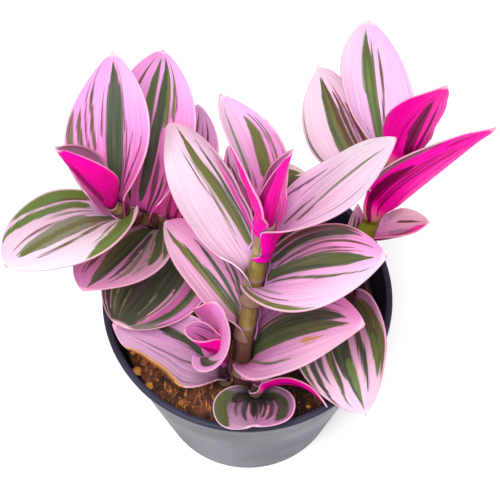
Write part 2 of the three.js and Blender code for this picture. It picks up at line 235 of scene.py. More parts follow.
def soil_height(x, y):
    """The surface's level in mm at x, y in mm."""
    swell = 0.5 * math.sin(0.31 * x + 1.1) * math.cos(0.27 * y - 0.4)
    swell += 0.5 * math.sin(0.63 * x - 0.52 * y + 2.0)
    lumps = noise.noise(Vector((x * 0.16, y * 0.16, 3.0))) * 1.1
    crumbs = noise.noise(Vector((x * 0.6, y * 0.6, 7.0))) * 0.8
    return SOIL_TOP + 0.7 * swell + lumps + crumbs


def shaded(g, where):
    """Painted shade: a colour factor of 0.3 over the mix, rising to 1 at the front left."""
    across = g.node("ShaderNodeSeparateXYZ", Vector=where)
    lit_share = g.ranged(g.maths("ADD", across.outputs[0], across.outputs[1]), -0.034, -0.014, 1.0, 0.3)
    return g.node("ShaderNodeCombineColor", Red=lit_share, Green=lit_share, Blue=lit_share).outputs[0]


def soil_material():
    g = Graph("peat", 0.92, 0.9)
    where = g.places()
    lumps = g.noise(where, 160.0, 6.0, 0.65)
    fibre = g.noise(g.stretched(where, 900, 220, 500), 1.0, 4.0)
    colour = g.mixed(g.ranged(lumps, 0.35, 0.65), linear(34, 18, 12), linear(112, 62, 34))
    colour = g.mixed(g.ranged(fibre, 0.56, 0.7), colour, linear(196, 122, 62))
    # Painted shade over all of the mix but its front left.
    colour = g.mixed(1.0, colour, shaded(g, where), "MULTIPLY")
    grit = g.noise(where, 1500.0, 3.0)
    return g.finish(colour, g.maths("ADD", lumps, g.maths("MULTIPLY", grit, 0.5)))


def soil_radius(z):
    """The mix's side, just inside the pot's wall."""
    return pot_radius(z) - WALL - SOIL_GAP


peat = soil_material()
rim = soil_radius(SOIL_TOP) - 0.8
bm = bmesh.new()
side = [(0, FLOOR + 0.3), (soil_radius(FLOOR) - 1.2, FLOOR + 0.3),
        (soil_radius(FLOOR) - 0.2, FLOOR + 1.3), (soil_radius(30), 30), (soil_radius(60), 60),
        (soil_radius(SOIL_TOP - 2), SOIL_TOP - 2)]
side += [(rim - k * rim / SOIL_STEPS, SOIL_TOP) for k in range(SOIL_STEPS + 1)]
line = [bm.verts.new((r * MM, 0, z * MM)) for r, z in side]
edges = [bm.edges.new(pair) for pair in zip(line, line[1:])]
bmesh.ops.spin(bm, geom=line + edges, cent=(0, 0, 0), axis=(0, 0, 1), angle=2 * math.pi,
               steps=160, use_merge=True)
bmesh.ops.remove_doubles(bm, verts=bm.verts, dist=1e-6)
bmesh.ops.recalc_face_normals(bm, faces=bm.faces)
for v in bm.verts:
    if v.co.z > (SOIL_TOP - 0.1) * MM:
        v.co.z = soil_height(v.co.x / MM, v.co.y / MM) * MM
soil = piece_from(bm, "soil_bed", peat)
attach(soil, "root")
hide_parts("soil")

# Bark chips and crumbs: small angular bits of brown bark and peat, lying half sunk in the mix.
bark = Graph("bark", 0.8, 0.6)
spots = bark.places()
tone = bark.attribute("tone", "Fac")
bark_colour = bark.mixed(bark.ranged(tone, 0.0, 1.0), linear(58, 30, 18), linear(206, 124, 58))
bark_colour = bark.mixed(bark.ranged(bark.noise(spots, 700.0), 0.45, 0.7, 0.0, 0.6),
                         bark_colour, linear(30, 17, 12))
# The chips take the mix's painted shade.
bark_colour = bark.mixed(1.0, bark_colour, shaded(bark, spots), "MULTIPLY")
bark_skin = bark.finish(bark_colour, bark.noise(spots, 1800.0))
dice = random.Random(5)
bm = bmesh.new()
tones = bm.verts.layers.float.new("tone")
for i in range(CHIPS):
    turn = dice.uniform(0, 2 * math.pi)
    radius = CHIP_SPREAD * math.sqrt(dice.random())
    x, y = radius * math.cos(turn), radius * math.sin(turn)
    size = dice.choice((0.5, 0.7, 0.9, 1.3, 1.8)) * dice.uniform(0.7, 1.2)
    long, thin = dice.uniform(1.0, 2.4), dice.uniform(0.35, 0.7)
    shade = dice.random() ** 2
    made = bmesh.ops.create_icosphere(bm, subdivisions=1, radius=size * MM)["verts"]
    spin, lean = dice.uniform(0, 6.3), dice.uniform(-0.5, 0.5)
    for v in made:
        a = Vector((v.co.x * long, v.co.y, v.co.z * thin))
        a *= 0.8 + 0.4 * dice.random()
        a = Vector((a.x, a.y * math.cos(lean) - a.z * math.sin(lean),
                    a.y * math.sin(lean) + a.z * math.cos(lean)))
        v.co = Vector((a.x * math.cos(spin) - a.y * math.sin(spin) + x * MM,
                       a.x * math.sin(spin) + a.y * math.cos(spin) + y * MM,
                       a.z + (soil_height(x, y) + 0.15 * size) * MM))
        v[tones] = shade
chips = piece_from(bm, "bark_chips", bark_skin)
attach(chips, "root")

# Fibres: thin curled threads of coir and root, red-brown, lying loose on the mix.
coir = Graph("coir", 0.75, 0.2)
coir_colour = coir.mixed(coir.ranged(coir.noise(coir.places(), 220.0), 0.35, 0.65),
                         linear(140, 78, 38), linear(232, 166, 98))
# The fibres take the mix's painted shade.
coir_colour = coir.mixed(1.0, coir_colour, shaded(coir, coir.places()), "MULTIPLY")
coir_skin = coir.finish(coir_colour)
bm = bmesh.new()
for i in range(FIBRES):
    turn = dice.uniform(0, 2 * math.pi)
    radius = FIBRE_SPREAD * math.sqrt(dice.random())
    x, y = radius * math.cos(turn), radius * math.sin(turn)
    reach, thick = dice.uniform(1.5, 6.5), dice.uniform(0.06, 0.16)
    heading, curl = dice.uniform(0, 6.3), dice.uniform(-1.5, 1.5)
    made = bmesh.ops.create_grid(bm, x_segments=3, y_segments=5, size=1.0)["verts"]
    for v in made:
        along, around = (v.co.y + 1) / 2, (v.co.x + 1) * math.pi
        way = heading + curl * along
        px = x + reach * along * math.cos(way)
        py = y + reach * along * math.sin(way)
        far = FIBRE_REACH / max(FIBRE_REACH, math.hypot(px, py))
        px, py = px * far, py * far
        lift = soil_height(px, py) + 0.25 + 0.5 * math.sin(math.pi * along)
        v.co = Vector((px - thick * math.cos(around) * math.sin(way),
                       py + thick * math.cos(around) * math.cos(way),
                       lift + thick * math.sin(around))) * MM
fibres = piece_from(bm, "soil_fibres", coir_skin)
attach(fibres, "root")

# Yellow stones: a few pale orange bits of grit, most of them by the left wall.
grit = Graph("grit", 0.6, 0.4)
grit_skin = grit.finish(grit.mixed(grit.ranged(grit.noise(grit.places(), 500.0), 0.4, 0.6),
                                   linear(206, 134, 44), linear(236, 184, 100)))
bm = bmesh.new()
for x, y, size in STONES:
    made = bmesh.ops.create_icosphere(bm, subdivisions=2, radius=size * MM)["verts"]
    for v in made:
        v.co *= 0.85 + 0.5 * noise.noise(v.co * 900)
        v.co = Vector((v.co.x * 1.3 + x * MM, v.co.y + y * MM,
                       v.co.z * 0.6 + (soil_height(x, y) + 0.3) * MM))
stones = piece_from(bm, "yellow_stones", grit_skin)
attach(stones, "root")

# ---------------------------------------------------------------- stems
# Six soft round stems, each one rooted shoot, yellow-green with fine brown lines and purple-brown
# towards the soil. They swell a little where each leaf is grown on, and their feet stand in the mix.
NODE_SWELL = 0.25
STEM_FOOT = 70
STEM_REACH = 50
STEM_SHRINK = 0.12
# Each stem's radius and the four control points of its middle line.
SHOOTS = {
    "centre": (2.9, ((-2, -35, 70), (-3, -23, 97), (2, -16, 125), (6, -8, 153))),
    "left": (2.2, ((-18, 21, 70), (-27, 34, 91), (-35, 15, 107), (-45, 14, 127))),
    "right": (2.5, ((30, -13, 70), (35, 4, 90), (46, 28, 99), (50, 30, 129))),
    "side": (1.6, ((-7, -30, 70), (-8, -29, 79), (-9, -27, 87), (-10, -26, 96))),
    "front": (1.4, ((4, -36, 70), (3, -35, 78), (2, -36, 85), (3, -36, 92))),
    "back": (1.6, ((1, 28, 70), (2, 29, 80), (3, 31, 90), (6, 33, 100))),
}
# Where each stem's leaves are grown on, in shares of its length.
GROWN_AT = {
    "centre": (0.25, 0.46, 0.66, 0.725, 0.87, 0.985, 1),
    "left": (0.17, 0.36, 0.53, 0.68, 0.83, 0.95, 1),
    "right": (0.17, 0.42, 0.55, 0.63, 0.77, 0.88, 0.98),
    "side": (0.38, 0.88, 1),
    "front": (0.42, 0.71, 1),
    "back": (0.5, 0.78, 0.95),
}


def curve_point(points, t):
    """A place on a stem's middle line, from 0 at the foot to 1 at the top."""
    a, b, c, d = (Vector(p) for p in points)
    return a * (1 - t) ** 3 + b * 3 * t * (1 - t) ** 2 + c * 3 * t * t * (1 - t) + d * t ** 3


def curve_way(points, t):
    a, b, c, d = (Vector(p) for p in points)
    way = (b - a) * (1 - t) ** 2 + (c - b) * 2 * t * (1 - t) + (d - c) * t * t
    return way.normalized()


def stem_material():
    g = Graph("stem_skin", 0.42, 0.25)
    around = g.node("ShaderNodeUVMap").outputs[0]
    lines = g.noise(g.stretched(around, 26, 1.2), 1.0, 4.0)
    blotch = g.noise(g.places(), 130.0, 3.0)
    low = g.mixed(g.ranged(blotch, 0.3, 0.7), linear(72, 38, 58), linear(104, 70, 56))
    high = g.mixed(g.ranged(blotch, 0.35, 0.65), linear(150, 138, 62), linear(128, 108, 58))
    colour = g.mixed(g.ranged(g.attribute("height", "Fac"), 0.4, 0.85), low, high)
    colour = g.mixed(g.ranged(lines, 0.5, 0.68, 0.0, 0.65), colour, linear(96, 52, 48))
    ringed = g.ranged(g.attribute("joint", "Fac"), 0.3, 1.0, 0.0, 0.7)
    return g.finish(g.mixed(ringed, colour, linear(166, 122, 140)), lines)


stem_skin = stem_material()
for name, (radius, points) in SHOOTS.items():
    bm = bmesh.new()
    bmesh.ops.create_grid(bm, x_segments=28, y_segments=90, size=1.0, calc_uvs=False)
    uv = bm.loops.layers.uv.new("UVMap")
    height = bm.verts.layers.float.new("height")
    joint = bm.verts.layers.float.new("joint")
    for face in bm.faces:
        for corner in face.loops:
            corner[uv].uv = ((corner.vert.co.x + 1) / 2, (corner.vert.co.y + 1) * 2)
    for v in bm.verts:
        angle, t = (v.co.x + 1) * math.pi, (v.co.y + 1) / 2
        way = curve_way(points, t)
        side = way.cross(Vector((1, 0, 0))).normalized()
        other = way.cross(side)
        swell = sum(math.exp(-((t - at) * 90) ** 2) for at in GROWN_AT[name])
        spot = curve_point(points, t)
        v[height], v[joint] = (spot.z - STEM_FOOT) / STEM_REACH, min(swell, 1)
        skin = radius - STEM_SHRINK + 0.03 * math.sin(7 * angle) + NODE_SWELL * min(swell, 1)
        v.co = (spot + side * skin * math.cos(angle) + other * skin * math.sin(angle)) * MM
    bmesh.ops.remove_doubles(bm, verts=bm.verts, dist=1e-6)
    bmesh.ops.holes_fill(bm, edges=bm.edges)
    bmesh.ops.recalc_face_normals(bm, faces=bm.faces)
    stem = piece_from(bm, "stem_" + name + "_skin", stem_skin)
    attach(stem, "root")
    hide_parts("stem_" + name)

# ---------------------------------------------------------------- centre shoot's leaves
# The tallest shoot's seven leaves: thin fleshy blades with parallel veins, striped pink and green
# above and magenta beneath, each grown as one with the clasping base that wraps the stem.
WRAP = 235  # the angle that a leaf's foot wraps round its stem
SHEATH_WRAP = 320  # and the lower end of its sheath
LEAD = 0.1  # the share in which it turns away from the stem
WIDEST = 0.4  # where the blade is widest
TIP_POWER = 0.8  # the lower, the blunter the tip
ROLL_IN = 0.16  # the share in which its roll sets in
CURL_FADE = 2.5  # how soon the wrap gives way to the cup
TIP_HALF = 0.4  # half the width left at the tip
LEAST_CURL = 0.9  # the tightest radius of a rolled leaf
CURL_OPENS = 7  # how fast the tightest radius grows from the foot
ROLLED_ROOM = 0.6
ROLLED_RADIUS = 2
SHEATH_ROOM = 0.1
CLEAR = 0.3  # the gap between sheath and stem
BLADE = 0.8  # the blade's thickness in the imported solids
SKIN = 0.5  # the thickness shown
SHORTER = 0.05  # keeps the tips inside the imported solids
ROWS = 90
COLS = 72
SHEATH_ROWS = 8
RIB = 0.07  # the height of the ribs
MARGIN_WAVES = 4.4  # half-waves along a margin
PHASE_STEP = 1.9
STRIPE_SMOOTH = 5
STRIPE_START = 0.09
STRIPE_END = 0.16
# The near-black tone is painted shade, used only on front_1.
TONES = {tone: linear(*shown) for tone, shown in {
    "white": (212, 198, 207), "cream": (207, 188, 180), "pale": (211, 174, 194),
    "lilac": (210, 149, 202), "pink": (206, 117, 185), "rose": (193, 87, 159),
    "mauve": (149, 86, 138), "plum": (102, 35, 79), "hot": (223, 0, 158), "magenta": (235, 0, 155),
    "wine": (129, 0, 78), "deep": (50, 60, 44), "moss": (71, 82, 47), "olive": (94, 96, 47),
    "leaf": (86, 111, 42), "grey": (122, 124, 102), "umber": (88, 57, 45), "smoke": (69, 61, 69),
    "painted_shade_black": (33, 29, 35), "amber": (194, 140, 89), "blush": (202, 142, 171),
    "dusk": (162, 130, 152), "scorch": (129, 66, 8), "stalk": (149, 124, 104),
    "herb": (126, 136, 42),
}.items()}


def smooth(x):
    x = min(max(x, 0.0), 1.0)
    return x * x * (3 - 2 * x)


def unit(v):
    return v / np.linalg.norm(v)


def midrib(shoot, at, stand, bend, length, seat, radius):
    """Each row's point on the midrib, with the ways along, across to the left and up."""
    azimuth, rise, roll = stand
    droop, sweep, twist = bend
    points = SHOOTS[shoot][1]
    root = np.array(curve_point(points, at))
    up = np.array(curve_way(points, at))
    turn = math.radians(azimuth if seat is None else seat)
    inward = np.array((-math.cos(turn), -math.sin(turn), 0.0))
    steps = []
    for k in range(ROWS + 1):
        s = k / ROWS
        a = math.radians(azimuth + sweep * s)
        e = math.radians(rise - droop * s)
        r = math.radians(roll + twist * s) * smooth(s / ROLL_IN)
        heading = np.array((math.cos(a) * math.cos(e), math.sin(a) * math.cos(e), math.sin(e)))
        side = np.array((-math.sin(a), math.cos(a), 0.0))
        face = np.cross(heading, side) * math.cos(r) - side * math.sin(r)
        share = smooth(s / LEAD)
        along = unit(up * (1 - share) + heading * share)
        normal = unit(inward * (1 - share) + face * share)
        normal = unit(normal - along * normal.dot(along))
        if k == 0:
            point = root - normal * radius
        else:
            point = steps[-1][0] + (along + steps[-1][1]) / 2 * (length - SHORTER) / ROWS
        steps.append((point, along, np.cross(normal, along), normal))
    return steps


def leaf_points(shoot, at, phase, stand, bend, size, cup, sheath=0.0, seat=None, wrap=None,
                inner=False, wave=0.3, tip=TIP_POWER, bite=None, tube=LEAST_CURL):
    """The blade's middle surface as rows and columns of points in mm, sheath first. Its share s
    runs from 0 at the foot to 1 at the tip, and t from 1 on the left margin to -1 on the right.
    stand: its azimuth, rise and roll where it leaves the stem. bend: how far it droops, swings and
    twists by its tip. size: its length and width. cup and wrap: the angle its rows curl through, at
    the tip and at the foot. seat: the way its foot faces, if not its azimuth. bite: the middle,
    half-length and depth eaten from its left margin. inner: rolled up inside the leaf below, to
    the radius tube. wave and phase: the size and start of its margins' waves."""
    stem = SHOOTS[shoot][0]
    radius = stem + CLEAR + SHEATH_ROOM + BLADE / 2
    if inner:
        radius = min(stem - ROLLED_ROOM, ROLLED_RADIUS)
    wrap = wrap or (SHEATH_WRAP if inner else WRAP)
    length, width = size
    steps = midrib(shoot, at, stand, bend, length, seat, radius)
    below = SHEATH_ROWS if sheath > 0 else 0
    base = min(radius * math.radians(wrap) / width, 0.9)
    t = np.linspace(1, -1, COLS + 1)
    rows = []
    for row in range(ROWS + 1 + below):
        s = max(row - below, 0) / ROWS
        point, along, across, normal = steps[max(row - below, 0)]
        if s < WIDEST:
            share = base + (1 - base) * math.sin(math.pi / 2 * s / WIDEST)
        else:
            share = max(math.cos(math.pi / 2 * (s - WIDEST) / (1 - WIDEST)), 0) ** tip
        half = max(width / 2 * share, TIP_HALF)
        arc = math.radians(cup + (wrap - cup) * (1 - s) ** CURL_FADE)
        least = radius * (1 + CURL_OPENS * min(s, 0.25))
        if inner:
            least = LEAST_CURL + (tube - LEAST_CURL) * min(s / WIDEST, 1)
        arc = min(arc, 2 * half / least)
        if abs(arc) < 0.001:
            arc = 0.001
        bow, back = half / (arc / 2), 0.0
        if row < below:
            share = 1 - row / below
            arc = math.radians(wrap + (SHEATH_WRAP - wrap) * share)
            bow, back = radius, sheath * share
        reach = t.copy()
        if bite:
            reach = np.where(t > 0, t * (1 - bite[2] * math.exp(-((s - bite[0]) / bite[1]) ** 4)), t)
        angle = arc * reach / 2
        ripple = wave * np.abs(t) ** 3 * smooth((s - 0.15) / 0.2) * (1 - s) * np.sin(
            MARGIN_WAVES * math.pi * s + phase + np.where(t > 0, 1.3, 0))
        ribs = np.cos(19 * t + phase) + 0.8 * np.cos(31 * t + 2 * phase) + 0.6 * np.cos(47 * t)
        ripple = ripple + RIB * ribs * smooth(s / 0.2) * (1 - np.abs(t) ** 4) * (1 - s ** 3)
        sideways = (bow - ripple) * np.sin(angle)
        upwards = bow * (1 - np.cos(angle)) + ripple * np.cos(angle)
        rows.append(point - along * back + np.outer(sideways, across) + np.outer(upwards, normal))
    return np.array(rows), below


def stripes_on(stripes, ground, below):
    """The ground's colour, the nearest stripe's colour and how far inside that stripe each
    point is, in shares of the half-width (below zero outside it)."""
    s = np.clip((np.arange(ROWS + 1 + below) - below) / ROWS, 0, 1)
    t = np.linspace(1, -1, COLS + 1)
    left, right = (1 + t) / 2, (1 - t) / 2
    low = np.outer(left, TONES[ground[0]][:3]) + np.outer(right, TONES[ground[1]][:3])
    high = np.outer(left, TONES[ground[2]][:3]) + np.outer(right, TONES[ground[3]][:3])
    blend = np.clip(s * 1.6 - 0.15, 0, 1)[:, None, None]
    base = low[None] * (1 - blend) + high[None] * blend
    inside = np.full(base.shape[:2], -1.0)
    paint = base.copy()
    even = np.ones(2 * STRIPE_SMOOTH + 1) / (2 * STRIPE_SMOOTH + 1)
    for tone, half, *knots in stripes:
        at, across = np.array(knots).T / 100
        middle = np.interp(s, at, across)
        middle = np.convolve(np.pad(middle, STRIPE_SMOOTH, "edge"), even, "valid")
        start, end = at[0], at[-1]
        taper = np.clip((s - start + 0.05) / STRIPE_START, 0, 1)
        taper = taper * np.clip((end - s) / STRIPE_END, 0, 1) ** 0.6
        off = np.maximum(np.maximum(start - s, s - end), 0) * 3
        here = (half / 100 * taper)[:, None] - np.abs(t[None] - middle[:, None]) - off[:, None]
        here = np.where((taper <= 0)[:, None], np.minimum(here, -0.02), here)
        nearer = (here > inside) | (here > 0)
        inside = np.maximum(inside, here)
        paint = np.where(nearer[..., None], np.array(TONES[tone][:3]), paint)
    return base, paint, inside


def leaf_skins():
    """The materials of a blade's upper and under side."""
    made = []
    for name in ("leaf_upper", "leaf_under"):
        g = Graph(name, 0.4, 0.22)
        g.put(g.shader.inputs["Specular IOR Level"], 0.25 if name == "leaf_upper" else 0.06)
        where = g.node("ShaderNodeUVMap").outputs[0]
        veins = g.noise(g.stretched(where, 46, 1.6), 1.0, 4.0, 0.6)
        fine = g.noise(g.stretched(where, 150, 3.0), 1.0, 3.0)
        cells = g.noise(g.places(), 1700.0, 2.0)
        inside = g.attribute("inside", "Fac")
        rough = g.maths("MULTIPLY", g.maths("SUBTRACT", veins, 0.5), 0.16)
        share = g.ranged(g.maths("ADD", inside, rough), -0.022, 0.022)
        if name == "leaf_upper":
            ground = g.mixed(g.ranged(veins, 0.42, 0.62, 0.0, 0.22), g.attribute("ground"),
                             linear(206, 118, 178))
            ground = g.mixed(g.ranged(fine, 0.35, 0.6, 0.16, 0.0), ground, linear(250, 236, 248))
            paint = g.mixed(g.ranged(fine, 0.42, 0.62, 0.0, 0.3), g.attribute("paint"),
                            linear(120, 122, 92))
            paint = g.mixed(g.ranged(veins, 0.56, 0.66, 0.0, 0.4), paint, linear(58, 44, 46))
            colour = g.mixed(share, ground, paint)
            rim = g.attribute("rim", "Fac")
            colour = g.mixed(g.ranged(rim, 0.955, 0.985, 0.0, 0.75), colour,
                             linear(238, 196, 214))
            colour = g.mixed(g.ranged(rim, 0.988, 0.998, 0.0, 0.5), colour,
                             linear(170, 60, 110))
        else:
            colour = g.mixed(g.ranged(veins, 0.35, 0.65, 0.0, 0.4), g.attribute("beneath"),
                             linear(196, 150, 186), "MULTIPLY")
            colour = g.mixed(g.maths("MULTIPLY", share, 0.75), colour, linear(96, 0, 54))
            colour = g.mixed(g.ranged(g.attribute("rim", "Fac"), 0.955, 0.985, 0.0, 0.8), colour,
                             linear(238, 176, 210))
        ridges = g.maths("ADD", g.maths("MULTIPLY", fine, 0.7), g.maths("MULTIPLY", cells, 0.5))
        made.append(g.finish(colour, ridges, g.ranged(veins, 0.3, 0.7, 0.34, 0.5)))
    return made


leaf_upper, leaf_under = leaf_skins()
leaves = []


def leaf(name, slot, ground, stripes, foot="stalk", under="magenta", beneath_too=False,
         scorched=False, **form):
    """One leaf: a grid bent to its form, with its colours as attributes, made solid.
    ground: its tones at the foot, left and right, then at the tip. stripes: each a tone, its
    half-width and the (s, t) places that it runs through, all in hundredths. foot and under: the
    underside's tones. beneath_too: the stripes show there in their own tones. scorched: the left
    rim has no pale edge where a stripe lies on it."""
    shoot, number = name.split("_")
    at = GROWN_AT[shoot][int(number) - 1]
    points, below = leaf_points(shoot, at, PHASE_STEP * len(leaves), **form)
    base, paint, inside = stripes_on(stripes, ground, below)
    rows = ROWS + below
    bm = bmesh.new()
    bmesh.ops.create_grid(bm, x_segments=COLS, y_segments=rows, size=1.0)
    uv = bm.loops.layers.uv.new("UVMap")
    layers = bm.verts.layers
    tint, stripe = layers.float_color.new("ground"), layers.float_color.new("paint")
    beneath = layers.float_color.new("beneath")
    low, high = np.array(TONES[foot]), np.array(TONES[under])
    depth, rim = layers.float.new("inside"), layers.float.new("rim")
    for face in bm.faces:
        for corner in face.loops:
            spot = corner.vert.co
            corner[uv].uv = ((spot.x + 1) / 2, (spot.y + 1) / 2)
    for v in bm.verts:
        col, row = round((v.co.x + 1) / 2 * COLS), round((v.co.y + 1) / 2 * rows)
        s = max(row - below, 0) / ROWS
        v[tint] = (*base[row, col], 1)
        v[stripe] = (*paint[row, col], 1)
        opened = smooth((s - 0.03) / 0.12)
        tone = low * (1 - opened) + high * opened
        if beneath_too:
            marked = smooth(inside[row, col] / 0.03)
            tone = tone * (1 - marked) + np.array((*paint[row, col], 1)) * marked
        v[beneath] = tone
        v[depth] = inside[row, col]
        burnt = scorched and inside[row, col] > 0 and v.co.x < -0.8
        v[rim] = 0.9 if burnt else max(abs(v.co.x) * (0.9 + 0.1 * opened), s)
        v.co = Vector(points[row, col]) * MM
    made = piece_from(bm, "leaf_" + name + "_blade", leaf_upper, leaf_under)
    thick = made.modifiers.new("thickness", "SOLIDIFY")
    thick.thickness = SKIN * MM
    thick.offset = 0
    thick.material_offset = 1
    thick.material_offset_rim = 0
    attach(made, "root")
    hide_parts("leaf_" + name)
    leaves.append(made)


leaf("centre_1", "leaf_dark", ("mauve", "pink", "pink", "pale"), (
    ("plum", 3, (15, 55), (50, 62), (86, 72)), ("umber", 3.5, (10, 48), (50, 50), (82, 50)),
    ("mauve", 5.9, (10, 62), (50, 72), (80, 85)), ("deep", 14.2, (0, 30), (50, 32), (87, 36)),
    ("deep", 10.6, (0, 16), (70, 20)), ("moss", 14.2, (0, 6), (50, 6), (91, 10)),
    ("olive", 3, (60, 2), (88, 0)), ("grey", 3.5, (10, -36), (35, -52), (58, -60)),
    ("moss", 2, (12, -40), (40, -56), (57, -62)), ("amber", 7.1, (58, -20), (75, -24)),
    ("amber", 3, (62, -32), (72, -36)),
), stand=(-12, 69, 1), bend=(29, -10, -3), size=(63, 37), cup=9, sheath=6, wave=0.8)
leaf("centre_2", "leaf_mid", ("blush", "mauve", "pale", "rose"), (
    ("olive", 11.8, (2, 24), (30, 26), (60, 32), (93, 50)),
    ("moss", 5.9, (2, 16), (40, 20), (73, 20)), ("deep", 6.5, (5, 6), (25, 10), (50, 16)),
    ("deep", 5.9, (8, -4), (40, -14), (68, -24)), ("umber", 4, (10, -20), (25, -34), (44, -50)),
    ("deep", 5.9, (12, -30), (25, -50), (42, -66)), ("plum", 7.1, (12, -50), (25, -80), (35, -90)),
), stand=(126, 38, -18), bend=(67, 4, 3), size=(47, 22), cup=103, sheath=6)
leaf("centre_3", "leaf_mid", ("mauve", "lilac", "pink", "pale"), (
    ("umber", 5.9, (10, 90), (50, 92), (82, 95)), ("deep", 8.8, (10, 68), (50, 76), (82, 84)),
    ("grey", 3, (20, 62), (60, 66), (84, 70)), ("umber", 3, (12, 46), (50, 54), (92, 58)),
    ("plum", 2.5, (20, 36), (50, 38), (80, 36)), ("umber", 3, (30, 28), (60, 30), (86, 28)),
    ("moss", 18.9, (4, 28), (30, 16), (60, 8), (93, -2)), ("deep", 4, (10, 12), (40, 4), (70, -8)),
    ("moss", 3.5, (15, -12), (50, -24), (80, -42), (95, -66)), ("grey", 1.8, (12, -50), (40, -62)),
    ("umber", 2, (10, -76), (30, -76), (46, -74)), ("olive", 8.3, (8, -93), (35, -92), (62, -98)),
), stand=(-21, 66, -24), bend=(32, 3, 41), size=(59, 34), cup=-49, sheath=6, wave=0.5)
leaf("centre_4", "leaf_pale", ("pale", "mauve", "white", "pale"), (
    ("umber", 2, (12, 10), (40, 2), (60, 12), (85, 16)), ("grey", 2, (20, 2), (50, -2), (80, 2)),
    ("olive", 12.4, (10, -30), (40, -20), (70, -14), (86, -30), (93, -60)),
    ("moss", 5.9, (10, -36), (40, -30), (62, -28)),
    ("deep", 4.5, (12, -50), (40, -44), (65, -50), (76, -68)),
    ("hot", 5.9, (12, -62), (40, -62), (60, -70)), ("plum", 5.9, (20, -82), (40, -84), (64, -92)),
    ("rose", 5.9, (30, -74), (60, -80)),
), stand=(120, 22, -23), bend=(37, -3, -15), size=(62, 26), cup=93, sheath=5, tip=0.74)
leaf("centre_5", "leaf_pale", ("pink", "lilac", "white", "pale"), (
    ("umber", 3.5, (14, 28), (30, 24), (42, 20)), ("umber", 4.5, (28, -14), (40, -10), (52, -6)),
    ("grey", 5.9, (42, -8), (60, 0), (80, -2), (93, -16)),
    ("plum", 2.5, (20, 90), (36, 74), (52, 70)), ("grey", 3, (80, 74), (95, 92)),
    ("mauve", 1.5, (30, 56), (70, 50)), ("grey", 1.2, (30, -70), (60, -76), (80, -80)),
), stand=(19, 53, -49), bend=(10, -2, 38), size=(57, 30), cup=-27, sheath=2.5, wave=0.5,
    foot="hot")
leaf("centre_6", "leaf_pale", ("lilac", "hot", "pale", "lilac"), (
    ("plum", 3, (26, -10), (42, -10)), ("umber", 5.9, (30, 10), (50, 6), (66, 10)),
    ("grey", 7.1, (45, 6), (70, 12), (93, 26)), ("olive", 13.6, (30, -42), (50, -48), (80, -58)),
    ("umber", 1.8, (35, -68), (80, -76)), ("olive", 2, (35, -76), (76, -84)),
    ("leaf", 3, (30, -93), (60, -94)), ("plum", 2, (30, 40), (70, 42)),
), stand=(127, 79, 33), bend=(29, -4, -6), size=(47, 28), cup=129, sheath=2, wave=0.2, foot="hot")
leaf("centre_7", "leaf_bud", ("hot", "hot", "rose", "lilac"), (
    ("olive", 14.2, (12, -86), (40, -86), (80, -90)), ("white", 2, (12, -72), (70, -74)),
    ("umber", 5.9, (20, 35), (90, 30)),
), stand=(-22, 86, 6), bend=(5, 1, 5), size=(44, 15), cup=231, inner=True, wave=0.1, tip=0.92,
    foot="hot")

# ---------------------------------------------------------------- left shoot's leaves
# The left shoot's seven leaves: green-banded lower ones, pink upper ones and the rolled young leaf at
# the tip, all fleshy blades with clasping bases, grown on alternate sides of the stem.
leaf("left_1", "leaf_dark", ("deep", "deep", "moss", "deep"), (
    ("deep", 92, (0, -50), (110, -50)), ("deep", 18.9, (0, 30), (110, 34)),
    ("moss", 14.2, (30, -50), (60, -55), (93, -60)),
    ("smoke", 7.1, (10, -10), (60, -12), (80, -15)),
    ("grey", 2.2, (55, -50), (80, -60), (97, -60)), ("grey", 2, (66, -30), (95, -34)),
    ("blush", 2.2, (50, -86), (70, -90), (95, -86)), ("blush", 2, (62, -74), (96, -70)),
    ("blush", 3, (20, 50), (60, 52), (93, 52)), ("rose", 5.9, (15, 60), (60, 62), (90, 60)),
    ("deep", 5.9, (20, 72), (60, 74), (90, 70)), ("moss", 3, (30, 76), (80, 78)),
    ("pink", 7.1, (10, 90), (60, 90), (85, 86)), ("rose", 7.1, (10, 100), (90, 100)),
    ("blush", 2.4, (50, 42), (92, 44)), ("grey", 2, (60, 20), (90, 24)),
), stand=(-109, 28, -13), bend=(1, -5, 9), size=(57, 38), cup=-35, sheath=1.5, wave=0.4, tip=0.6,
    foot="umber")
leaf("left_2", "leaf_mid", ("hot", "magenta", "pink", "lilac"), (
    ("umber", 5.9, (30, 30), (90, 30)), ("umber", 5.9, (40, -12), (70, -18), (92, -24)),
    ("plum", 4, (55, -60), (84, -70)), ("plum", 4, (30, 60), (80, 66)),
    ("wine", 8.3, (0, 10), (24, 10)), ("wine", 7.1, (0, -30), (20, -30)),
    ("plum", 3, (40, 10), (86, 6)), ("plum", 3, (40, -40), (86, -46)),
), stand=(75, 27, 2), bend=(41, 5, 1), size=(51, 28), cup=48, sheath=5, wave=0.4)
leaf("left_3", "leaf_dark", ("grey", "blush", "blush", "pink"), (
    ("moss", 10.6, (2, 86), (30, 84), (42, 90)), ("moss", 15.3, (5, 50), (25, 56), (50, 66)),
    ("grey", 4.5, (10, 30), (40, 50), (66, 60)),
    ("grey", 5.9, (10, 10), (35, 26), (60, 40), (84, 50)),
    ("smoke", 5.9, (10, 16), (35, 14), (66, 24), (80, 30)),
    ("moss", 17.7, (0, -10), (20, -14), (50, -14), (96, -4)),
    ("deep", 5.9, (0, -2), (40, -2), (90, 2)), ("olive", 5.9, (15, -30), (40, -30), (74, -22)),
    ("umber", 4, (30, -40), (60, -48), (80, -60)), ("plum", 2.5, (50, -50), (78, -68)),
    ("moss", 14.2, (10, -60), (62, -70)), ("deep", 8.3, (10, -86), (55, -88)),
    ("blush", 2, (30, 20), (80, 34)), ("blush", 2, (20, 42), (60, 56)),
), stand=(-115, 26, -2), bend=(-17, 0, 13), size=(55, 32), cup=5, sheath=5, wave=0.4, foot="umber")
